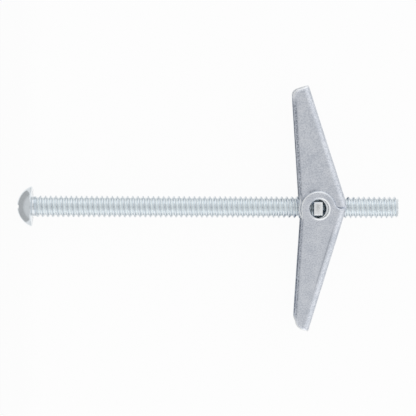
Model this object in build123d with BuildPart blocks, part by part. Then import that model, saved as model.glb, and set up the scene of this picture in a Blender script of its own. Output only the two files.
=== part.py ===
from build123d import *
from math import cos, hypot, radians, sin, sqrt, tan
import os

os.makedirs("parts", exist_ok=True)

# A spring toggle bolt, in millimetres. X runs along the screw from the underside of its head to its
# tip, Y across the open wings, and Z along the pivot. The bolt lies on its side with its wings open.

# Screw
thread_diameter = 4.5
screw_length = 75.5
screw_end_chamfer = 0.5
neck_fillet = 0.3
head_diameter = 8.24
dome_height = 2.86
head_rim = 0.24
rim_chamfer = 0.1
slot_width = 1.15
slot_depth = 1.25
recess_arm_width = 1.0
recess_span = 4.3
recess_depth = 1.9
recess_taper = 7.0

# Trunnion nut
pivot_x = 58.85
thread_clearance = 0.03
nut_side_wall = 0.35
nut_edge_wall = 1.35
nut_corner_radius = 1.1
stub_thickness = 1.75
stub_height = 2.9
stub_end_chamfer = 0.28
stub_recess = 0.06
collar_length = 1.2
collar_chamfer = 0.15

# Torsion spring
wire_diameter = 0.4
coil_gap = 0.03
coil_play = 0.9
end_play = 0.03
leg_seat_gap = 0.1

# Wings, blanked and folded from one sheet
sheet_thickness = 0.65
inside_bend_radius = 0.65
nesting_gap = 0.075
hole_play = 0.25
rolled_edge = 0.18
ear_radius = 3.6
ear_offset = 0.1
ear_fillet = 1.3
edge_fillet = 3.0
open_edge_reach = 3.42
open_lean = 17.5
stop_gap = 0.06
notch_clearance = 1.05

# The inner wing's web stands out past the outer wing's, so their ends meet as the opening stop
outer_web_reach = 5.36
web_step_depth = 0.8
inner_wing_length = 24.4
outer_wing_length = 24.8
inner_taper = 14.3
outer_taper = 13.3
inner_tip_radius = 1.4
outer_tip_radius = 2.2

# The sprung wings take up the play of their holes on the stubs, each towards its own side, and the
# pair stands a little turned on them
inner_hole_shift = -0.28
outer_hole_shift = 0.15
pair_turn = 0.7

# Sizes that follow from those above
thread_radius = thread_diameter / 2
head_radius = head_diameter / 2
dome_radius = (head_radius**2 + dome_height**2) / (2 * dome_height)
head_height = dome_height + head_rim
stub_corner_radius = hypot(stub_thickness, stub_height) / 2
hole_radius = stub_corner_radius + hole_play
nut_half_height = thread_radius + nut_edge_wall
coil_radius = stub_corner_radius + coil_play + wire_diameter / 2
coil_pitch = wire_diameter + coil_gap
coil_shoulder_z = thread_radius + nut_side_wall
coil_start_z = coil_shoulder_z + end_play + wire_diameter / 2
coil_end_z = coil_start_z + coil_pitch
inner_gap_half = coil_end_z + wire_diameter / 2 + end_play
inner_half_width = inner_gap_half + sheet_thickness
outer_half_width = inner_half_width + nesting_gap + sheet_thickness
stub_end_z = outer_half_width - stub_recess
plain_shoulder_z = inner_gap_half - end_play
inner_web_reach = outer_web_reach + web_step_depth
inner_hole_x = pivot_x + inner_hole_shift
outer_hole_x = pivot_x + outer_hole_shift
inner_lean = open_lean + pair_turn
outer_lean = open_lean - pair_turn
notch_radius = thread_radius + notch_clearance


# One wing: a U channel with ears round the pivot. Its own plane has u running from the pivot hole to
# the tip and v from the open edge to the web. side is 1 for the wing towards +Y and -1 for the other.
def build_wing(side, hole_x, web_reach, half_width, length, tip_radius, taper_angle):
    lean = radians(open_lean)
    taper = radians(taper_angle)
    turned_lean = radians(open_lean + side * pair_turn)
    along = Vector(-sin(turned_lean), side * cos(turned_lean), 0)
    across = Vector(cos(turned_lean), side * sin(turned_lean), 0)
    hole = Vector(hole_x, 0, 0)
    side_plane = Plane(origin=hole, x_dir=along, z_dir=Vector(0, 0, -side))
    pivot_end = ear_radius + ear_offset + sheet_thickness + web_reach * sin(lean)
    section_plane = Plane(origin=hole - along * pivot_end, x_dir=across, z_dir=along)

    # a point given by its distances from the hole along X and towards the tip, in the wing's own plane
    def in_plane(x, y):
        return (y * cos(lean) - x * sin(lean), x * cos(lean) + y * sin(lean))

    def open_edge_at(u):
        return u * tan(taper) - open_edge_reach / cos(taper)

    stop_y = stop_gap / 2
    web_end = ((stop_y - web_reach * sin(lean)) / cos(lean), web_reach)
    section_depth = web_reach + 2 * ear_radius
    bend_radius = inside_bend_radius + sheet_thickness
    tip_corner = (length, open_edge_at(length))
    chord_reach = open_edge_reach - ear_offset * cos(taper)
    ear_exit = chord_reach * sin(taper) + sqrt(ear_radius**2 - chord_reach**2) * cos(taper)

    with BuildPart() as wing:
        # the folded section, run past both ends of the blank
        for depth, half_span, corner_radius, mode in (
            (web_reach, half_width, bend_radius, Mode.ADD),
            (web_reach - sheet_thickness, half_width - sheet_thickness, inside_bend_radius, Mode.SUBTRACT),
        ):
            with BuildSketch(section_plane) as section:
                with Locations((depth - section_depth / 2, 0)):
                    Rectangle(section_depth, 2 * half_span)
                fillet(section.vertices().group_by(Axis.X)[-1], corner_radius)
            extrude(amount=pivot_end + length, mode=mode)

        # the outline of the cheeks, with the ear round the pivot hole
        with BuildSketch(side_plane) as outline:
            with BuildLine():
                Polyline(
                    web_end,
                    (length, web_reach),
                    tip_corner,
                    (0, open_edge_at(0)),
                    in_plane(0, stop_y),
                    close=True,
                )
            make_face()
            with Locations((0, -ear_offset)):
                Circle(ear_radius)
            fillet(outline.vertices().sort_by_distance(tip_corner)[0], tip_radius)
            fillet(outline.vertices().sort_by_distance(in_plane(ear_radius, stop_y))[0], ear_fillet)
            fillet(outline.vertices().sort_by_distance((ear_exit, open_edge_at(ear_exit)))[0], edge_fillet)
        extrude(amount=half_width, both=True, mode=Mode.INTERSECT)

        with BuildSketch(side_plane):
            Circle(hole_radius)
        extrude(amount=half_width, both=True, mode=Mode.SUBTRACT)

        # the web is notched round the screw, which passes between the open wings
        with BuildSketch(Plane.YZ.offset(hole_x)):
            Circle(notch_radius)
        extrude(amount=2 * web_reach, mode=Mode.SUBTRACT)

        # blanking rolls the cut edges over on the outer skin, the pivot holes' rims among them
        cheeks = wing.faces().filter_by(Axis.Z).group_by(Axis.Z)
        skin_edges = (cheeks[0] + cheeks[-1]).edges()
        fold_lines = skin_edges.filter_by(Axis(hole, along))
        chamfer(skin_edges - fold_lines, rolled_edge)
    return wing


# Screw: a cold-headed blank, its round head turned about X
with BuildPart() as screw:
    with BuildSketch(Plane.XY):
        with BuildLine():
            shoulder = Line((0, thread_radius), (0, head_radius))
            rim = Line(shoulder @ 1, (-head_rim, head_radius))
            dome = RadiusArc(rim @ 1, (-head_height, 0), -dome_radius)
            Polyline(dome @ 1, (screw_length, 0), (screw_length, thread_radius), shoulder @ 0)
        make_face()
    revolve(axis=Axis.X)
    chamfer(screw.edges().filter_by_position(Axis.X, 0, 0).sort_by(SortBy.RADIUS)[-1], rim_chamfer)
    fillet(screw.edges().filter_by_position(Axis.X, 0, 0).sort_by(SortBy.RADIUS)[0], neck_fillet)
    chamfer(screw.edges().sort_by(Axis.X)[-1], screw_end_chamfer)

    # the driving slot runs along Y, and a cross recess shares its middle
    with BuildSketch(Plane.YZ.offset(-head_height)):
        Rectangle(head_diameter, slot_width)
    extrude(amount=slot_depth, mode=Mode.SUBTRACT)
    with BuildSketch(Plane.YZ.offset(-head_height)):
        Rectangle(recess_span, recess_arm_width)
        Rectangle(recess_arm_width, recess_span)
    extrude(amount=recess_depth, taper=recess_taper, mode=Mode.SUBTRACT)
screw.part.label = "screw"
export_step(screw.part, "parts/screw.step")

# Trunnion nut: a stamped plate across the screw with a flat stub at each side. The plate fills the
# inner wing on its plain side and leaves room for the spring on the other.
with BuildPart() as trunnion_nut:
    with BuildSketch(Plane.YZ.offset(pivot_x - stub_thickness / 2)) as plate:
        with Locations((0, (coil_shoulder_z - plain_shoulder_z) / 2)):
            Rectangle(2 * nut_half_height, coil_shoulder_z + plain_shoulder_z)
        fillet(plate.vertices(), nut_corner_radius)
        Rectangle(stub_height, 2 * stub_end_z)
    extrude(amount=stub_thickness)
    stub_ends = trunnion_nut.edges().filter_by(Axis.X).group_by(Axis.Z)
    chamfer(stub_ends[0] + stub_ends[-1], stub_end_chamfer)

    # the collar drawn out of the plate towards the tip, and the hole for the screw
    with BuildSketch(Plane.YZ.offset(pivot_x + stub_thickness / 2)):
        Circle(coil_shoulder_z)
    extrude(amount=collar_length)
    chamfer(trunnion_nut.edges().filter_by(GeomType.CIRCLE).sort_by(Axis.X)[-1], collar_chamfer)
    with BuildSketch(Plane.YZ.offset(pivot_x - stub_thickness / 2)):
        Circle(thread_radius + thread_clearance)
    extrude(amount=stub_thickness + collar_length, mode=Mode.SUBTRACT)
trunnion_nut.part.label = "trunnion_nut"
export_step(trunnion_nut.part, "parts/trunnion_nut.step")

inner_wing = build_wing(
    1, inner_hole_x, inner_web_reach, inner_half_width, inner_wing_length, inner_tip_radius, inner_taper
)
inner_wing.part.label = "inner_wing"
export_step(inner_wing.part, "parts/inner_wing.step")

outer_wing = build_wing(
    -1, outer_hole_x, outer_web_reach, outer_half_width, outer_wing_length, outer_tip_radius, outer_taper
)
outer_wing.part.label = "outer_wing"
export_step(outer_wing.part, "parts/outer_wing.step")


# how far a leg of the spring runs before it seats on the inside of a wing's web
def leg_length(web_reach, hole_shift, lean_angle):
    lean = radians(lean_angle)
    seat = web_reach - sheet_thickness - wire_diameter / 2 - leg_seat_gap
    return (seat - (coil_radius - hole_shift) * cos(lean)) / sin(lean)


# Torsion spring: one turn of wire round the stub, as two half turns that each rise half a pitch,
# with a straight leg along each wing
half_turn_radius = hypot(coil_radius, coil_pitch / 4)
coil_start = Vector(pivot_x + coil_radius, 0, coil_start_z)
coil_back = Vector(pivot_x - coil_radius, 0, coil_start_z + coil_pitch / 2)
coil_end = Vector(pivot_x + coil_radius, 0, coil_end_z)
inner_leg = Vector(0, leg_length(inner_web_reach, inner_hole_shift, inner_lean), 0)
outer_leg = Vector(0, leg_length(outer_web_reach, outer_hole_shift, outer_lean), 0)
with BuildPart() as torsion_spring:
    with BuildLine() as wire:
        Line(coil_start + inner_leg, coil_start)
        first_middle = (coil_start + coil_back) / 2 - Vector(0, half_turn_radius, 0)
        ThreePointArc(coil_start, first_middle, coil_back)
        second_middle = (coil_back + coil_end) / 2 + Vector(0, half_turn_radius, 0)
        ThreePointArc(coil_back, second_middle, coil_end)
        Line(coil_end, coil_end - outer_leg)
    path = wire.wires()[0]
    with BuildSketch(Plane(origin=path @ 0, z_dir=path % 0)):
        Circle(wire_diameter / 2)
    sweep(path=path)
torsion_spring.part.label = "torsion_spring"
export_step(torsion_spring.part, "parts/torsion_spring.step")
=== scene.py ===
import bpy
import math
from mathutils import Matrix, Vector
from mathutils.geometry import delaunay_2d_cdt
from mathutils.kdtree import KDTree


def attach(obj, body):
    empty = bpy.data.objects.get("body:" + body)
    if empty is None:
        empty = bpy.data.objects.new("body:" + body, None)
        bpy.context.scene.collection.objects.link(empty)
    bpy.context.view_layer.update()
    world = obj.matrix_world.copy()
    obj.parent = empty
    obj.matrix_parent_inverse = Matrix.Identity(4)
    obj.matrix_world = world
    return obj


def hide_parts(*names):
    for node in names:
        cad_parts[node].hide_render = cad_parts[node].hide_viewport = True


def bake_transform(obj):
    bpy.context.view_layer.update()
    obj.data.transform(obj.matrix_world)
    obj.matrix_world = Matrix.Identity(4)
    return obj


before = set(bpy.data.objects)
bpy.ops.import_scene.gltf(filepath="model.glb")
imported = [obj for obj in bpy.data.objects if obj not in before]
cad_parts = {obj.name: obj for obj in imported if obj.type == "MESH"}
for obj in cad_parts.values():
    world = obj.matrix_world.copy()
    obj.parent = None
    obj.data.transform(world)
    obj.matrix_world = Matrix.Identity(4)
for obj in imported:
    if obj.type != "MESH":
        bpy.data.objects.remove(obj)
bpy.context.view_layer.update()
print("frame loaded:", ", ".join(sorted(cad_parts)))

# Pieces are modelled in millimetres and brought to metres when they are finished.
metre = 0.001
sharpAngle = 35     # an edge sharper than this many degrees is rounded


def pick(obj):
    if bpy.context.object and bpy.context.object.mode != "OBJECT":
        bpy.ops.object.mode_set(mode="OBJECT")
    bpy.ops.object.select_all(action="DESELECT")
    obj.select_set(True)
    bpy.context.view_layer.objects.active = obj


# into edit mode with the whole mesh selected, and out again
def openMesh(obj):
    pick(obj)
    bpy.ops.object.mode_set(mode="EDIT")
    bpy.ops.mesh.select_all(action="SELECT")


def closeMesh():
    bpy.ops.object.mode_set(mode="OBJECT")


def meshFrom(name, points, edges=(), faces=()):
    mesh = bpy.data.meshes.new(name)
    mesh.from_pydata([tuple(point) for point in points], list(edges), list(faces))
    obj = bpy.data.objects.new(name, mesh)
    bpy.context.scene.collection.objects.link(obj)
    pick(obj)
    return obj


def lineFrom(name, points):
    return meshFrom(name, points, edges=[(i, i + 1) for i in range(len(points) - 1)])


def box(name, low, high):
    bpy.ops.mesh.primitive_cube_add(size=1, location=[(a + b) / 2 for a, b in zip(low, high)])
    obj = bpy.context.object
    obj.name = name
    obj.scale = [b - a for a, b in zip(low, high)]
    bpy.ops.object.transform_apply(location=True, scale=True)
    return obj


def shaped(obj, kind, **settings):
    pick(obj)
    step = obj.modifiers.new(kind.lower(), kind)
    for key, value in settings.items():
        setattr(step, key, value)
    bpy.ops.object.modifier_apply(modifier=step.name)


def combine(obj, other, operation):
    shaped(obj, "BOOLEAN", object=other, operation=operation, solver="EXACT")
    bpy.data.objects.remove(other)


def roundEdges(obj, width):
    angle = math.radians(sharpAngle)
    shaped(obj, "BEVEL", width=width, segments=2, limit_method="ANGLE", angle_limit=angle)


def mergeFlats(obj, weld, flatAngle):
    openMesh(obj)
    bpy.ops.mesh.remove_doubles(threshold=weld)
    bpy.ops.mesh.dissolve_limited(angle_limit=math.radians(flatAngle))
    closeMesh()


def arc(centre, radius, start, end, steps):
    angles = [start + (end - start) * i / steps for i in range(steps + 1)]
    return [(centre[0] + radius * math.cos(a), centre[1] + radius * math.sin(a)) for a in angles]


def angleOf(point, centre):
    return math.atan2(point[1] - centre[1], point[0] - centre[0])


# 0 below low, 1 above high, with a straight slope between
def slope(value, low, high):
    return min(max((value - low) / (high - low), 0), 1)


# the finished piece is in metres, stands at the origin and rides on its body
def finishPiece(obj, material, smooth, body=None, nodes=()):
    pick(obj)
    obj.scale = (metre, metre, metre)
    bpy.ops.object.transform_apply(location=True, rotation=True, scale=True)
    bpy.ops.object.shade_smooth_by_angle(angle=math.radians(smooth))
    obj.data.materials.clear()
    obj.data.materials.append(material)
    if body:
        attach(obj, body)
    if nodes:
        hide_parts(*nodes)


# Shader maths: a socket that can be added, subtracted and multiplied
class Value:
    def __init__(self, shader, socket):
        self.shader, self.socket = shader, socket

    def maths(self, operation, a, b):
        return self.shader.node("ShaderNodeMath", {"operation": operation}, {0: a, 1: b})

    def __add__(self, other):
        return self.maths("ADD", self, other)

    def __sub__(self, other):
        return self.maths("SUBTRACT", self, other)

    def __rsub__(self, other):
        return self.maths("SUBTRACT", other, self)

    def __mul__(self, other):
        return self.maths("MULTIPLY", self, other)

    __radd__ = __add__
    __rmul__ = __mul__

    # 0 below low, 1 above high, with a soft step between
    def between(self, low, high):
        settings = {"interpolation_type": "SMOOTHSTEP"}
        values = {"Value": self, "From Min": low, "From Max": high}
        return self.shader.node("ShaderNodeMapRange", settings, values)


class Shader:
    def __init__(self, tree):
        self.tree = tree
        tree.nodes.clear()

    # every node is made here, from its type, its settings, and the values or links of its sockets
    def node(self, kind, settings=None, values=None, out=0):
        made = self.tree.nodes.new(kind)
        for key, value in (settings or {}).items():
            setattr(made, key, value)
        for key, value in (values or {}).items():
            socket = made.inputs[key]
            if isinstance(value, Value):
                self.tree.links.new(value.socket, socket)
            elif socket.type == "RGBA":
                socket.default_value = (*value, 1)
            else:
                socket.default_value = value
        return Value(self, made.outputs[out]) if made.outputs else None

    def parts(self, vector):
        split = self.node("ShaderNodeSeparateXYZ", None, {0: vector})
        return [Value(self, socket) for socket in split.socket.node.outputs]

    def attribute(self, name):
        return self.node("ShaderNodeAttribute", {"attribute_name": name}, out=2)

    def blendColours(self, factor, a, b):
        return self.node("ShaderNodeMix", {"data_type": "RGBA"}, {0: factor, 6: a, 7: b}, out=2)

    def finish(self, surface, kind="ShaderNodeOutputMaterial"):
        self.node(kind, None, {"Surface": surface})


def newMaterial(name):
    material = bpy.data.materials.new(name)
    material.use_nodes = True
    return material, Shader(material.node_tree)


# Zinc plate over steel: a fine bright grain over faint clouds, sizes in millimetres. Four more colours
# go over it: a painted highlight in the thread's roots, painted shade along the sheet's open edge with a
# painted shadow round the other wing's ear, a painted highlight on rims, and the nut's bright stub ends.
zincLooks = {
    "screw": dict(
        dark=(0.71, 0.76, 0.80), light=(0.80, 0.845, 0.88), cloud=1.6, grain=0.20,
        # the last colour is a painted highlight in the thread's roots
        rough=(0.10, 0.15), bump=0.04, rootHighlight=(0.93, 0.98, 1.0),
    ),
    "sheet": dict(
        dark=(0.59, 0.63, 0.70), light=(0.89, 0.92, 0.98), cloud=2.4, grain=0.27,
        rough=(0.34, 0.42), bump=0.30, edge=(0.30, 0.33, 0.39), rim=(0.96, 0.98, 1.0),
    ),
    # the nut's body is darkened as painted shade where it lies between the wings; its stub ends stay bright
    "nut": dict(
        dark=(0.26, 0.33, 0.37), light=(0.38, 0.45, 0.49), cloud=1.6, grain=0.20,
        rough=(0.24, 0.34), bump=0.10, ends=(0.97, 0.99, 1.0),
    ),
    "wire": dict(
        dark=(0.40, 0.41, 0.43), light=(0.58, 0.59, 0.61), cloud=0.9, grain=0.15,
        rough=(0.25, 0.38), bump=0.08,
    ),
}
plating = dict(
    detail=2.0,
    detailRoughness=0.6,
    cloudShare=0.3,             # of the mottle, the rest is grain
    contrast=(0.34, 0.66),
    darkeningGrain=(0.40, 0.55),     # the painted shade and the darker line follow the grain
    stubEnds=(4.1, 4.4),        # how far from the nut's middle the bright ends begin
    rootHighlightDepth=(3.3, 4.0),     # squares of the radii between which the painted root highlight ends
    rootHighlightStart=(0.6, 1.2),     # along the screw, past the neck
    grooveRoughness=0.34,
    bumpHeight=0.02,
)


def zincMaterial(name, look, p):
    material, shader = newMaterial(name)
    place = shader.node("ShaderNodeTexCoord", out=3)
    cloud, grain = (
        shader.node("ShaderNodeTexNoise", None, {
            "Vector": place, "Scale": 1 / (size * metre),
            "Detail": p["detail"], "Roughness": p["detailRoughness"],
        })
        for size in (look["cloud"], look["grain"])
    )
    mottle = (cloud * p["cloudShare"] + grain * (1 - p["cloudShare"])).between(*p["contrast"])
    colour = shader.blendColours(mottle, look["dark"], look["light"])
    if "edge" in look:
        # the edge colour: painted shade along the open edge, painted shadow round the other wing's ear, and
        # a darker line where a bend starts
        worn = shader.attribute("openEdge") * grain.between(*p["darkeningGrain"])
        colour = shader.blendColours(worn, colour, look["edge"])
        # the rim colour is a painted highlight
        colour = shader.blendColours(shader.attribute("paintedRimHighlight"), colour, look["rim"])
    # painted shade: the nut's body is dark, and only its stub ends take the bright colour
    if "ends" in look:
        z = shader.parts(place)[2]
        ends = (z * z).between(*((height * metre) ** 2 for height in p["stubEnds"]))
        colour = shader.blendColours(ends, colour, look["ends"])
    low, high = look["rough"]
    roughness = high - (high - low) * mottle
    # painted highlight: the thread's roots are whitened
    if "rootHighlight" in look:
        x, y, z = shader.parts(place)
        depth = 1 - (y * y + z * z).between(*(square * metre**2 for square in p["rootHighlightDepth"]))
        rootHighlight = depth * x.between(*(start * metre for start in p["rootHighlightStart"]))
        colour = shader.blendColours(rootHighlight, colour, look["rootHighlight"])
        roughness = roughness + rootHighlight * p["grooveRoughness"]
    bump = shader.node("ShaderNodeBump", None, {
        "Strength": look["bump"], "Distance": p["bumpHeight"] * metre, "Height": grain,
    })
    shader.finish(shader.node("ShaderNodeBsdfPrincipled", None, {
        "Base Color": colour, "Metallic": 1.0, "Roughness": roughness, "Normal": bump,
    }))
    return material


screwZinc = zincMaterial("zincOnScrew", zincLooks["screw"], plating)
sheetZinc = zincMaterial("zincOnSheet", zincLooks["sheet"], plating)
nutZinc = zincMaterial("zincOnNut", zincLooks["nut"], plating)
springSteel = zincMaterial("springSteel", zincLooks["wire"], plating)
print("materials made")

screw = dict(
    threadRadius=2.25,
    rootRadius=1.75,
    pitch=1.0583,
    crestAt=0.682,          # a crest passes here on the +Y side
    # the rounded root and crest: shares of the pitch from their middles, and millimetres up or down
    rootForm=((0, 0), (0.05, 0.008), (0.12, 0.06)),
    crestForm=((0.165, 0.145), (0.125, 0.066), (0.09, 0.010), (0, 0)),
    start=0.1,
    length=75.5,
    endChamfer=0.5,
    neckRadius=2.02,
    neckEnd=0.75,           # the roots deepen from here to runout
    riseStart=0.3,          # and the crests rise from here
    runout=1.3,
    headRadius=4.12,
    domeRadius=4.3976,
    headRim=0.24,
    rimFillet=0.1,
    neckFillet=0.3,
    headOverlap=0.6,        # the head reaches this far into the thread
    slotWidth=1.15,
    slotDepth=1.25,
    recessWidth=1.0,
    recessSpan=4.3,
    recessDepth=1.9,
    recessTaper=7.0,
    cutMargin=1.0,          # the cutters reach this far past the metal
    turnSteps=56,
    spareTurns=3,
    headSteps=96,
    domeSteps=36,
    rimSteps=5,
    neckSteps=6,
    weld=0.0005,
    lastWeld=0.0002,
    flatAngle=0.05,
    smooth=32,
)


def makeThread(s):
    # one pitch of the rolled profile, from one root to the next
    pitch, root, crest = s["pitch"], s["rootRadius"], s["threadRadius"]
    profile = [(place, root + rise) for place, rise in s["rootForm"]]
    profile += [(0.5 - place, crest - drop) for place, drop in s["crestForm"]]
    profile += [(1 - place, radius) for place, radius in reversed(profile[:-1])]
    thread = lineFrom("screwBody", [((place - 0.5) * pitch, radius, 0) for place, radius in profile])
    shaped(
        thread, "SCREW", axis="X", angle=math.radians(360), screw_offset=pitch,
        iterations=math.ceil(s["length"] / pitch) + s["spareTurns"], steps=s["turnSteps"],
        render_steps=s["turnSteps"], use_merge_vertices=True, merge_threshold=s["weld"],
    )
    # the coil begins before the neck and runs past the tip, and both ends are cut square
    openMesh(thread)
    bpy.ops.transform.translate(value=(s["crestAt"] - 2 * pitch, 0, 0))
    bpy.ops.mesh.remove_doubles(threshold=s["weld"])
    for where, before in ((s["start"], True), (s["length"], False)):
        bpy.ops.mesh.select_all(action="SELECT")
        bpy.ops.mesh.bisect(
            plane_co=(where, 0, 0), plane_no=(1, 0, 0), use_fill=True,
            clear_inner=before, clear_outer=not before, threshold=s["weld"] / 10,
        )
    bpy.ops.mesh.select_all(action="SELECT")
    bpy.ops.mesh.normals_make_consistent(inside=False)
    closeMesh()
    # the thread fades into the neck, and is chamfered at the tip
    neck = s["neckRadius"]
    for vertex in thread.data.vertices:
        x, y, z = vertex.co
        radius = math.hypot(y, z)
        floor = neck + (root - neck) * slope(x, s["neckEnd"], s["runout"])
        ceiling = neck + (crest - neck) * slope(x, s["riseStart"], s["runout"])
        ceiling -= max(x - s["length"] + s["endChamfer"], 0)
        wanted = min(max(radius, floor), ceiling)
        vertex.co = (x, y * wanted / radius, z * wanted / radius)
    return thread


def makeHead(s):
    # half the head's outline, from the neck inside the thread to the top of the dome
    dome, neckFillet, rimFillet = s["domeRadius"], s["neckFillet"], s["rimFillet"]
    domeHeight = dome - math.sqrt(dome**2 - s["headRadius"] ** 2)
    top = -domeHeight - s["headRim"]
    rimEnd = math.asin(s["headRadius"] / dome)
    neckCentre = (neckFillet, s["neckRadius"] + neckFillet)
    rimCentre = (-rimFillet, s["headRadius"] - rimFillet)
    outline = [(s["headOverlap"], 0), (s["headOverlap"], s["neckRadius"])]
    outline += arc(neckCentre, neckFillet, math.radians(270), math.radians(180), s["neckSteps"])
    outline += arc(rimCentre, rimFillet, 0, math.radians(90), s["rimSteps"])
    for i in range(s["domeSteps"] + 1):
        turn = rimEnd * (1 - i / s["domeSteps"])
        outline.append((top + dome - dome * math.cos(turn), dome * math.sin(turn)))
    head = lineFrom("head", [(x, y, 0) for x, y in outline])
    openMesh(head)
    bpy.ops.mesh.spin(steps=s["headSteps"], angle=math.radians(360), center=(0, 0, 0), axis=(1, 0, 0))
    bpy.ops.mesh.select_all(action="SELECT")
    bpy.ops.mesh.remove_doubles(threshold=s["weld"])
    bpy.ops.mesh.normals_make_consistent(inside=False)
    closeMesh()

    above = top - s["cutMargin"]
    reach, half = s["headRadius"] + s["cutMargin"], s["slotWidth"] / 2
    slot = box("slot", (above, -reach, -half), (top + s["slotDepth"], reach, half))
    combine(head, slot, "DIFFERENCE")
    # the cross is cut by two arms that taper towards its floor
    reach, half = s["recessSpan"] / 2, s["recessWidth"] / 2
    shrink = s["recessDepth"] * math.tan(math.radians(s["recessTaper"]))
    for turned in (0, 90):
        arm = box("arm", (above, -reach, -half), (top + s["recessDepth"], reach, half))
        for vertex in arm.data.vertices:
            if vertex.co.x > top:
                vertex.co.y -= math.copysign(shrink, vertex.co.y)
                vertex.co.z -= math.copysign(shrink, vertex.co.z)
        arm.rotation_euler = (math.radians(turned), 0, 0)
        pick(arm)
        bpy.ops.object.transform_apply(rotation=True)
        combine(head, arm, "DIFFERENCE")
    return head


screwBody = makeThread(screw)
combine(screwBody, makeHead(screw), "UNION")
mergeFlats(screwBody, screw["lastWeld"], screw["flatAngle"])
finishPiece(screwBody, screwZinc, screw["smooth"], "screw", ["screw"])
print("screw made:", len(screwBody.data.polygons), "faces")

sheet = dict(
    thickness=0.65,
    insideBend=0.65,
    holeRadius=1.9436,
    earRadius=3.6,
    earOffset=0.1,
    earFillet=1.3,
    edgeFillet=3.0,
    openEdge=3.42,
    lean=math.radians(17.5),
    stopY=0.03,
    notchRadius=3.3,
    edgeRounding=0.04,
    # the steep rim of a sheared edge, and the shallow roll inside it
    rimWidth=0.25,
    rimDepth=0.24,
    rollWidth=0.52,
    rollDepth=0.10,
    # the tips are drawn down more softly and further in
    tipRollWidth=0.62,
    tipRollDepth=0.34,
    tipReach=(2.6, 1.2),
    # the hole's rim, and the low lip that the punch leaves round it
    holeRimWidth=0.12,
    holeRimDepth=0.12,
    lipPlace=0.15,
    lipWidth=0.25,
    # soft ends of the painted shade along the open edge: its inside, its outside and its start
    wornFade=0.25,
    wornEdge=0.12,
    wornStart=(1.5, 3.0),
    # a faint darker line where the bend starts
    bendLineDrop=0.12,
    bendLineAcross=(0.05, 0.17),
    bendLineStart=(2.0, 4.5),
    bendLineEnd=(13.0, 18.0),
    # painted shadow: a dark line round the other wing's ear
    shadowRingInside=(-0.15, 0.0),
    shadowRingOutside=(0.12, 0.30),
    shadowRingTop=(0.6, 2.0),
    # painted highlight: the rims of ears and tips, and a band round the hole
    earReach=(3.8, 4.4),
    brightRim=(0.18, 0.30),
    brightRimTop=(0.2, 2.0),
    brightHole=(0.34, 0.44),
    brightHoleFoot=(-1.2, 0.2),
    # how fine the mesh is: rings inside the cut edges, rows across the bends, cells on the flats
    rings=(0.06, 0.12, 0.18, 0.25, 0.34, 0.45, 0.58, 0.72, 0.88),
    holeRings=(0.04, 0.08, 0.12, 0.16, 0.20, 0.24, 0.28, 0.32, 0.37, 0.43, 0.50, 0.60),
    ringKept=0.97,
    ringToHole=0.05,
    edgeStep=0.3,
    sampleStep=0.04,
    filletSteps=10,
    earSteps=48,
    stopSteps=12,
    notchSteps=24,
    holeSteps=64,
    bendSteps=10,
    creaseRows=(0.05, 0.12, 0.20, 0.30),
    rowToEdge=0.12,
    cell=0.6,
    cellsBehind=20,
    cellsAside=40,
    cellToBend=0.2,
    cellToRing=0.15,
    cellToHole=0.5,
    holeSlack=0.01,
    weld=0.002,
    smooth=35,
)
wings = {
    "inner": dict(
        side=1, hole=58.57, web=6.16, half=4.1405, length=24.4, tip=1.4,
        taper=math.radians(14.3), lean=math.radians(18.2), lipHeight=0.03, wornWidth=0.74,
        shadowRingCentre=(-0.077, 0.326), shadowRingRadius=3.62,
    ),
    "outer": dict(
        side=-1, hole=59.0, web=5.36, half=4.8655, length=24.8, tip=2.2,
        taper=math.radians(13.3), lean=math.radians(16.8), lipHeight=0.12, wornWidth=0.52,
        bendLineShare=0.75,
    ),
}


# The wings are laid out as flat blanks in (u, s): u from the pivot hole to the tip, and s along the
# sheet from the middle of the web. v is the height from the open edge to the web.
def bendSizes(w):
    bend = sheet["insideBend"] + sheet["thickness"]
    flat = w["half"] - bend
    return bend, flat, flat + bend * math.pi / 2, w["web"] - bend


def alongSheet(w, v):
    bend, flat, bendEnd, cheekTop = bendSizes(w)
    if v <= cheekTop:
        return bendEnd + cheekTop - v
    return flat + bend * math.acos(min((v - cheekTop) / bend, 1))


# a point of the folded wing as (u, v, z), and the way out of its skin
def folded(w, u, s):
    bend, flat, bendEnd, cheekTop = bendSizes(w)
    side = math.copysign(1, s)
    if abs(s) <= flat:
        return Vector((u, w["web"], s)), Vector((0, 1, 0))
    if abs(s) < bendEnd:
        turn = (abs(s) - flat) / bend
        out = Vector((0, math.cos(turn), side * math.sin(turn)))
        return Vector((u, cheekTop, side * flat)) + out * bend, out
    return Vector((u, cheekTop - abs(s) + bendEnd, side * w["half"])), Vector((0, 0, side))


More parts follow.
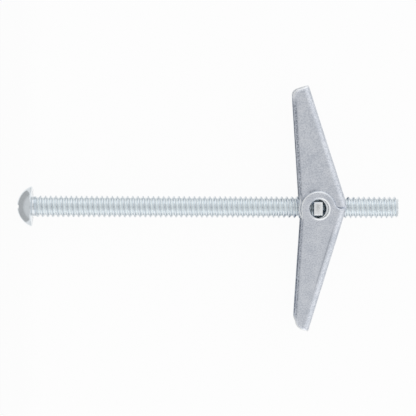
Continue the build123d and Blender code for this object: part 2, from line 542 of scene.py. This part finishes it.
def cheekOutline(w):
    lean, taper, steps = sheet["lean"], w["taper"], sheet["filletSteps"]
    ear, radius = Vector((0, -sheet["earOffset"])), sheet["earRadius"]
    alongEdge = Vector((math.cos(taper), math.sin(taper)))
    outOfEdge = Vector((math.sin(taper), -math.cos(taper)))
    alongStop = Vector((-math.sin(lean), math.cos(lean)))
    outOfStop = Vector((-math.cos(lean), -math.sin(lean)))

    # the hollow between the ear and a straight edge, from the edge to the ear
    def hollow(outward, forward, distance, fillet):
        centre = ear + outward * (distance + fillet)
        centre += forward * math.sqrt((radius + fillet) ** 2 - (distance + fillet) ** 2)
        onEdge, onEar = centre - outward * fillet, ear + (centre - ear) * radius / (radius + fillet)
        start = angleOf(onEdge, centre)
        turn = math.remainder(angleOf(onEar, centre) - start, 2 * math.pi)
        return arc(centre, fillet, start, start + turn, steps)

    edgeDistance = sheet["openEdge"] - sheet["earOffset"] * math.cos(taper)
    stopDistance = -sheet["stopY"] - sheet["earOffset"] * math.sin(lean)
    edgeHollow = hollow(outOfEdge, alongEdge, edgeDistance, sheet["edgeFillet"])
    stopHollow = hollow(outOfStop, alongStop, stopDistance, sheet["earFillet"])[::-1]
    tip = w["tip"]
    tipCentre = Vector((w["length"] - tip, 0))
    tipCentre.y = tipCentre.x * math.tan(taper) + (tip - sheet["openEdge"]) / math.cos(taper)
    first, last = angleOf(edgeHollow[-1], ear), angleOf(stopHollow[0], ear)
    last -= 2 * math.pi if last > first else 0
    points = arc(tipCentre, tip, 0, taper - math.pi / 2, steps)
    return points + edgeHollow + arc(ear, radius, first, last, sheet["earSteps"])[1:-1] + stopHollow


def blankOutline(w):
    lean, notch, steps = sheet["lean"], sheet["notchRadius"], sheet["notchSteps"]
    bend, flat = bendSizes(w)[:2]

    # a point of the leaning end: y is its distance from the screw's middle plane
    def onEnd(y, s):
        return (y - folded(w, 0, s)[0].y * math.sin(lean)) / math.cos(lean), s

    def acrossSheet(z):
        return z if z <= flat else flat + bend * math.asin((z - flat) / bend)

    half = [(w["length"], 0.0)] + [(u, alongSheet(w, v)) for u, v in cheekOutline(w)]
    # up the end that meets the other wing, and round the notch for the screw
    notchStart = math.asin(sheet["stopY"] / notch)
    startS = acrossSheet(notch * math.cos(notchStart))
    last = half[-1][1]
    half += [
        onEnd(sheet["stopY"], last + (startS - last) * i / sheet["stopSteps"])
        for i in range(1, sheet["stopSteps"])
    ]
    for i in range(steps + 1):
        turn = notchStart + (math.pi / 2 - notchStart) * i / steps
        half.append(onEnd(notch * math.sin(turn), acrossSheet(notch * math.cos(turn))))
    whole = half + [(u, -s) for u, s in reversed(half[1:-1])]
    return resampled(whole, sheet["edgeStep"])


def resampled(loop, gap):
    points = []
    for start, end in zip(loop, loop[1:] + loop[:1]):
        start, end = Vector(start), Vector(end)
        count = max(1, math.ceil((end - start).length / gap))
        points += [start.lerp(end, i / count) for i in range(count)]
    return points


# distance and side of a point from a closed loop, by way of close samples along it
class EdgeFinder:
    def __init__(self, loop):
        area = sum(a.x * b.y - b.x * a.y for a, b in zip(loop, loop[1:] + loop[:1]))
        self.samples = resampled([tuple(p) for p in loop], sheet["sampleStep"])
        count = len(self.samples)
        self.tree = KDTree(count)
        for i, point in enumerate(self.samples):
            self.tree.insert((*point, 0), i)
        self.tree.balance()
        tangents = [self.samples[(i + 1) % count] - self.samples[i - 1] for i in range(count)]
        self.inward = [Vector((-t.y, t.x)).normalized() * math.copysign(1, area) for t in tangents]

    def distance(self, point):
        index, length = self.tree.find((*point, 0))[1:]
        inside = (Vector(point) - self.samples[index]).dot(self.inward[index]) > 0
        return length if inside else -length


def holeCentres(w):
    return [Vector((0, s)) for s in (alongSheet(w, 0), -alongSheet(w, 0))]


def fromHole(w, point):
    return min((point - centre).length for centre in holeCentres(w)) - sheet["holeRadius"]


# how near the tip and the ear a place is, from 0 to 1
def nearTip(w, u):
    far, close = sheet["tipReach"]
    return slope(u, w["length"] - far, w["length"] - close)


def nearEar(w, u, v):
    away = math.hypot(u, abs(alongSheet(w, v)) - alongSheet(w, 0))
    return 1 - slope(away, *sheet["earReach"])


# the flat blank's corners and faces
def blankMesh(w, outline, edge):
    flat, bendEnd = bendSizes(w)[1:3]
    circle = [Vector(p) for p in arc((0, 0), sheet["holeRadius"], 0, 2 * math.pi, sheet["holeSteps"])[:-1]]
    points, edges = [], []
    for loop in [outline] + [[centre + p for p in circle] for centre in holeCentres(w)]:
        first = len(points)
        points += loop
        edges += [(first + i, first + (i + 1) % len(loop)) for i in range(len(loop))]
    # rings of points inside each cut edge carry its rounded form
    ringGap = round(sheet["edgeStep"] / sheet["sampleStep"])
    for ring in sheet["rings"]:
        for i in range(0, len(edge.samples), ringGap):
            point = edge.samples[i] + edge.inward[i] * ring
            if edge.distance(point) > ring * sheet["ringKept"] and fromHole(w, point) > sheet["ringToHole"]:
                points.append(point)
    for ring in sheet["holeRings"]:
        for centre in holeCentres(w):
            points += [centre + p * (1 + ring / sheet["holeRadius"]) for p in circle]
    # rows across the bends, and an open grid on the flats
    steps = sheet["bendSteps"]
    across = [flat + (bendEnd - flat) * i / steps for i in range(steps + 1)]
    across += [bendEnd + step for step in sheet["creaseRows"]]
    cell, aside = sheet["cell"], sheet["cellsAside"]
    clear, beside = sheet["rings"][-1] + sheet["cellToRing"], sheet["cellToBend"]
    for i in range(-sheet["cellsBehind"], math.ceil(w["length"] / cell)):
        for s in across + [-s for s in across]:
            point = Vector((i * cell, s))
            if edge.distance(point) > sheet["rowToEdge"]:
                points.append(point)
        for j in range(-aside, aside + 1):
            point = Vector((i * cell, j * cell))
            awayFromBend = not flat - beside < abs(point.y) < bendEnd + beside
            if awayFromBend and edge.distance(point) > clear and fromHole(w, point) > sheet["cellToHole"]:
                points.append(point)
    whole = list(range(len(outline)))
    filled = delaunay_2d_cdt(points, edges, [whole], 1, sheet["weld"])
    corners, faces = filled[0], filled[2]
    middles = [sum((corners[i] for i in face), Vector((0, 0))) / len(face) for face in faces]
    # the filling covers the holes too
    return corners, [f for f, middle in zip(faces, middles) if fromHole(w, middle) > -sheet["holeSlack"]]


# how far the skin is drawn in at a sheared edge, or out at the lip round a hole
def drawnIn(w, edge, corner):
    flat, bendEnd = bendSizes(w)[1:3]

    def roll(distance, name):
        return sheet[name + "Depth"] * max(1 - distance / sheet[name + "Width"], 0) ** 2

    away, hole = max(edge.distance(corner), 0), max(fromHole(w, corner), 0)
    sharp, broad = roll(away, "roll") + roll(away, "rim"), roll(away, "tipRoll")
    onCheek = slope(abs(corner[1]), flat, bendEnd)
    drop = onCheek * (sharp + (broad - sharp) * nearTip(w, corner[0])) + roll(hole, "holeRim")
    lip = max(1 - ((hole - sheet["lipPlace"]) / sheet["lipWidth"]) ** 2, 0) ** 2
    return drop - w["lipHeight"] * lip


# how dark the skin is painted at (u, v): painted shade along the open edge, a darker line at the start of
# the bend, painted shadow round the other ear
def darkeningAt(w, u, v):
    taper, cheekTop = w["taper"], bendSizes(w)[3]
    away = (v - u * math.tan(taper)) * math.cos(taper) + sheet["openEdge"]
    worn = slope(w["wornWidth"] - away, 0, sheet["wornFade"]) * slope(away, 0, sheet["wornEdge"])
    worn *= slope(u, *sheet["wornStart"]) * (1 - nearTip(w, u))
    if "bendLineShare" in w:
        line = 1 - slope(abs(v - cheekTop + sheet["bendLineDrop"]), *sheet["bendLineAcross"])
        line *= slope(u, *sheet["bendLineStart"]) * (1 - slope(u, *sheet["bendLineEnd"]))
        worn = max(worn, line * w["bendLineShare"])
    if "shadowRingRadius" in w:
        outside = math.hypot(u - w["shadowRingCentre"][0], v - w["shadowRingCentre"][1]) - w["shadowRingRadius"]
        line = slope(outside, *sheet["shadowRingInside"]) * (1 - slope(outside, *sheet["shadowRingOutside"]))
        worn = max(worn, line * (1 - slope(v, *sheet["shadowRingTop"])))
    return worn


# painted highlight on the rims of the tips and the ear, and round the hole
def brightAt(w, edge, u, v):
    place = max(nearTip(w, u), nearEar(w, u, v)) * max(nearTip(w, u), 1 - slope(v, *sheet["brightRimTop"]))
    onRim = place * (1 - slope(edge.distance((u, alongSheet(w, v))), *sheet["brightRim"]))
    onHole = 1 - slope(math.hypot(u, v) - sheet["holeRadius"], *sheet["brightHole"])
    return max(onRim, onHole * slope(v, *sheet["brightHoleFoot"]))


def makeWing(name, w):
    outline = blankOutline(w)
    edge = EdgeFinder(outline)
    corners, faces = blankMesh(w, outline, edge)
    places = [folded(w, *corner) for corner in corners]
    wing = meshFrom(name, [place for place, out in places], faces=faces)
    if sum(f.normal.dot(places[f.vertices[0]][1]) for f in wing.data.polygons) < 0:
        openMesh(wing)
        bpy.ops.mesh.flip_normals()
        closeMesh()
    shaped(
        wing, "SOLIDIFY", thickness=sheet["thickness"], offset=-1,
        use_rim=True, use_even_offset=False,
    )
    # the sheared edges are drawn down on the outside of the fold
    for i, corner in enumerate(corners):
        wing.data.vertices[i].co -= places[i][1] * drawnIn(w, edge, corner)
    openMesh(wing)
    bpy.ops.mesh.delete_loose()
    closeMesh()
    roundEdges(wing, sheet["edgeRounding"])
    # the points carry the painted shade and the painted rim highlight
    worn = wing.data.attributes.new("openEdge", "FLOAT", "POINT")
    rimHighlight = wing.data.attributes.new("paintedRimHighlight", "FLOAT", "POINT")
    flat = bendSizes(w)[1]
    for vertex, dark, bright in zip(wing.data.vertices, worn.data, rimHighlight.data):
        u, v, z = vertex.co
        dark.value = darkeningAt(w, u, v)
        if abs(z) > flat:
            bright.value = brightAt(w, edge, u, v)
    # from (u, v, z) to its place on the pivot
    sine, cosine = math.sin(w["lean"]), math.cos(w["lean"])
    along, across = (-sine, w["side"] * cosine, 0), (cosine, w["side"] * sine, 0)
    turn = Matrix((along, across, (0, 0, -w["side"]))).transposed().to_4x4()
    wing.data.transform(Matrix.Translation((w["hole"], 0, 0)) @ turn)
    return wing


for key, w in wings.items():
    wing = makeWing(key + "WingSheet", w)
    finishPiece(wing, sheetZinc, sheet["smooth"], key + "_wing", [key + "_wing"])
    print(key, "wing made:", len(wing.data.polygons), "faces")

# The stamped nut keeps the solid's form, with its sharp edges rounded
nutLook = dict(rounding=0.06, weld=0.0005, flatAngle=1.0, smooth=35)


def makeNut(look):
    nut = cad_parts["trunnion_nut"].copy()
    nut.data = nut.data.copy()
    nut.name = "nutBody"
    bpy.context.scene.collection.objects.link(nut)
    nut.data.transform(Matrix.Scale(1 / metre, 4))
    mergeFlats(nut, look["weld"], look["flatAngle"])
    roundEdges(nut, look["rounding"])
    return nut


nutBody = makeNut(nutLook)
finishPiece(nutBody, nutZinc, nutLook["smooth"], "nut", ["trunnion_nut"])
print("nut made:", len(nutBody.data.polygons), "faces")

# The torsion spring is one wire in two halves, each from the back of the coil to the end of a leg.
spring = dict(
    wireRadius=0.2,
    pivotX=58.85,
    coilRadius=2.794,
    lowZ=2.83,
    pitch=0.43,
    legs=dict(inner=7.33, outer=6.50),
    turnStart=0.5,
    turnEnd=3.5,
    coilSteps=28,
    legSteps=24,
    roundness=3,
    smooth=50,
)


def makeSpringHalf(s, key, side):
    # side is 1 for the half whose leg runs towards +Y, which starts at the bottom of the coil
    coilSteps, legSteps, radius = s["coilSteps"], s["legSteps"], s["coilRadius"]
    points = []
    for i in range(coilSteps + 1):
        turn = math.pi * (1 - i / coilSteps)
        z = s["lowZ"] + s["pitch"] / 2 - side * (s["pitch"] / 2 * i / coilSteps)
        points.append((s["pivotX"] + radius * math.cos(turn), -side * radius * math.sin(turn), z))
    x, z = points[-1][0], points[-1][2]
    points += [(x, side * s["legs"][key] * i / legSteps, z) for i in range(1, legSteps + 1)]
    half = lineFrom(key + "SpringHalf", points)
    bpy.ops.object.convert(target="CURVE")
    half.data.bevel_depth = s["wireRadius"]
    half.data.bevel_resolution = s["roundness"]
    half.data.use_fill_caps = True
    bpy.ops.object.convert(target="MESH")
    finishPiece(half, springSteel, s["smooth"])
    x * metre
    z * metre
    x * metre
    z * metre
    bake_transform(half)
    return half


springHalves = [makeSpringHalf(spring, key, side) for key, side in (("inner", 1), ("outer", -1))]
for half in springHalves:
    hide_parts("torsion_spring")
print("spring made:", sum(len(half.data.polygons) for half in springHalves), "faces")

# The bolt lies on its outer wing's cheek and the rim of its head. The camera sees the floor white. The
# metal mirrors it white where its rays meet the floor steeply, and as grey paper elsewhere.
floorLook = dict(
    size=1.6,
    headDrop=4.122,
    slope=math.radians(0.786),
    white=0.95,                     # the rest of what the camera sees is paper, which takes the shadow
    mirrored=0.95,
    steep=(0.72, 0.82),
    paper=0.60,                     # darker by the head, whose dome mirrors it
    lightPaper=0.80,
    threadStart=(-0.004, 0.002),
    sheen=0.28,                     # white that is mirrored at any angle, beside the thread
    sideSheen=0.8,                  # and at the head's sides, so that a grey strip is left before it
    spread=2.4,                     # the larger, the narrower the strip
    stripEdge=20,                   # softness of its edges, in square millimetres
)


def makeFloor(look):
    bpy.ops.mesh.primitive_plane_add(size=look["size"])
    floor = bpy.context.object
    floor.name = "floor"
    floor.rotation_euler = (0, look["slope"], 0)
    floor.location = (0, 0, -look["headDrop"] * metre)
    bpy.ops.object.transform_apply(location=True, rotation=True)
    material, shader = newMaterial("paleFloor")
    x, y = shader.parts(shader.node("ShaderNodeTexCoord", out=3))[:2]
    byHead, byThread = ((look[name],) * 3 for name in ("paper", "lightPaper"))
    besideThread = x.between(*look["threadStart"])
    grey = shader.blendColours(besideThread, byHead, byThread)
    paper = shader.node("ShaderNodeBsdfDiffuse", None, {"Color": grey})
    glow = shader.node("ShaderNodeEmission", None, {"Color": (1, 1, 1), "Strength": 1.0})
    seen, mirrored, through = (shader.node("ShaderNodeLightPath", out=i) for i in (0, 3, 6))
    facing = 1 - shader.node("ShaderNodeLayerWeight", None, {"Blend": 0.5}, out=1)
    steep = facing.between(*look["steep"])
    stripEdge = look["stripEdge"] * metre**2
    aside = (y * y - x * x * look["spread"]).between(-stripEdge, stripEdge) * (1 - besideThread)
    steep = steep + (1 - steep) * (besideThread * look["sheen"] + aside * look["sideSheen"])
    white = seen * look["white"] + (mirrored + through) * steep * look["mirrored"]
    shader.finish(shader.node("ShaderNodeMixShader", None, {0: white, 1: paper, 2: glow}))
    floor.data.materials.append(material)


# A light tent round the bolt: walls that get lighter upwards, a lighter front beyond the screw's tip,
# a darker corner behind the head, bright panels at both sides of the wings, and a small dark disc
# overhead. The pairs are where each begins and ends, as parts of the direction looked in.
tent = dict(
    low=0.45,
    mid=0.72,
    wallHeight=(0.10, 0.55),
    front=0.92,
    frontPlace=(0.34, 0.64),
    corner=0.70,
    cornerPlace=(0.22, 0.55),
    cornerHeight=(-0.20, 0.35),
    panel=1.08,
    panelAside=(0.25, 0.55),        # squares of the part across the screw
    panelPlace=(-0.45, -0.20),
    disc=0.12,
    discHeight=(0.987, 0.9975),
)


def makeTent(look):
    world = bpy.data.worlds.new("tent")
    bpy.context.scene.world = world
    world.use_nodes = True
    shader = Shader(world.node_tree)
    x, y, z = shader.parts(shader.node("ShaderNodeTexCoord", out=0))
    level = look["low"] + (look["mid"] - look["low"]) * z.between(*look["wallHeight"])
    corner = (0 - x).between(*look["cornerPlace"]) * z.between(*look["cornerHeight"])
    panels = (y * y).between(*look["panelAside"]) * x.between(*look["panelPlace"])
    for name, place in (
        ("front", x.between(*look["frontPlace"])), ("corner", corner),
        ("panel", panels), ("disc", z.between(*look["discHeight"])),
    ):
        level = level + (look[name] - level) * place
    background = shader.node("ShaderNodeBackground", None, {"Color": (1, 1, 1), "Strength": level})
    shader.finish(background, "ShaderNodeOutputWorld")


makeFloor(floorLook)
makeTent(tent)

camera = dict(
    distance=0.45,
    centre=(0.0363, -0.00023),
    lens=188.68,
    sensor=36,
    clip=(0.05, 10),
    roll=math.radians(0.2),
    tilt=math.radians(4.2),
)


def makeCamera(c):
    eye = bpy.data.objects.new("camera", bpy.data.cameras.new("camera"))
    eye.data.lens = c["lens"]
    eye.data.sensor_width = c["sensor"]
    eye.data.clip_start, eye.data.clip_end = c["clip"]
    centre = Vector((*c["centre"], 0))
    turn = Matrix.Rotation(-c["tilt"], 4, "X") @ Matrix.Rotation(c["roll"], 4, "Z")
    eye.matrix_world = Matrix.Translation(centre) @ turn @ Matrix.Translation((0, 0, c["distance"]))
    bpy.context.scene.collection.objects.link(eye)
    bpy.context.scene.camera = eye


makeCamera(camera)
bpy.context.scene.view_settings.view_transform = "Standard"
print("floor, light and camera placed")
